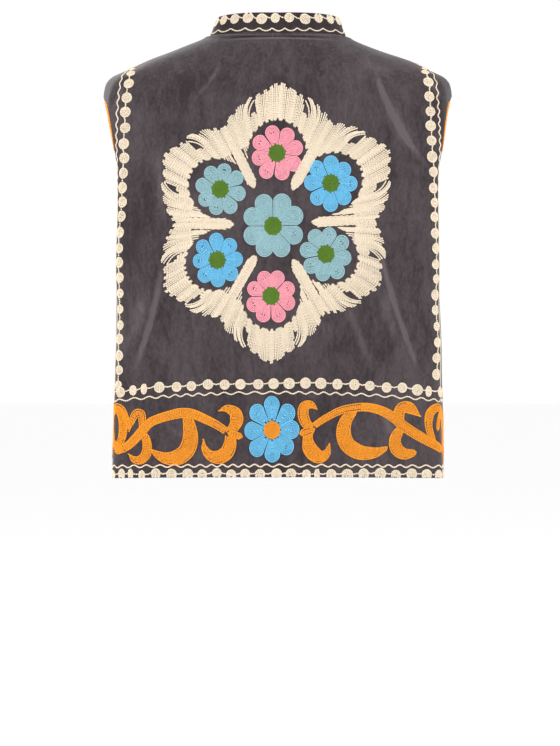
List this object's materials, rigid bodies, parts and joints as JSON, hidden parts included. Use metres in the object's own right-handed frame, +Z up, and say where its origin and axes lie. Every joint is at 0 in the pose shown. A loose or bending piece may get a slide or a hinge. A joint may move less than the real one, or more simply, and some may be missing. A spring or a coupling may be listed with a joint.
{
  "type": "sleeveless velvet waistcoat",
  "caption": "Boxy sleeveless waistcoat with a standing collar, open at the front and embroidered, hollow and filled out as it is when worn.",
  "frame": {"origin": "between the two shoulder seams at the height of their middle, where the wearer's shoulders hold the garment up", "axes": "+Z up, -Y out of the fronts, +Y out of the back, +X to the wearer's left"},
  "size_m": [0.4522, 0.2271, 0.6007],
  "materials": {
    "velvet": "matte crushed cotton velvet, dark grey-brown",
    "collar_velvet": "matte cotton velvet, dark grey-brown",
    "velvet_wrong_side": "plain woven ground of the velvet",
    "thread_cream": "matte wool thread in chain stitch",
    "thread_orange": "matte wool thread in chain stitch",
    "thread_teal": "matte wool thread in chain stitch",
    "thread_blue": "matte wool thread in chain stitch",
    "thread_pink": "matte wool thread in chain stitch",
    "thread_green": "matte wool thread in chain stitch",
    "thread_grey": "grey sewing thread"
  },
  "bodies": {
    "root": {"back": "velvet", "front_left": "velvet", "front_right": "velvet", "collar": "collar_velvet"}
  },
  "joints": []
}
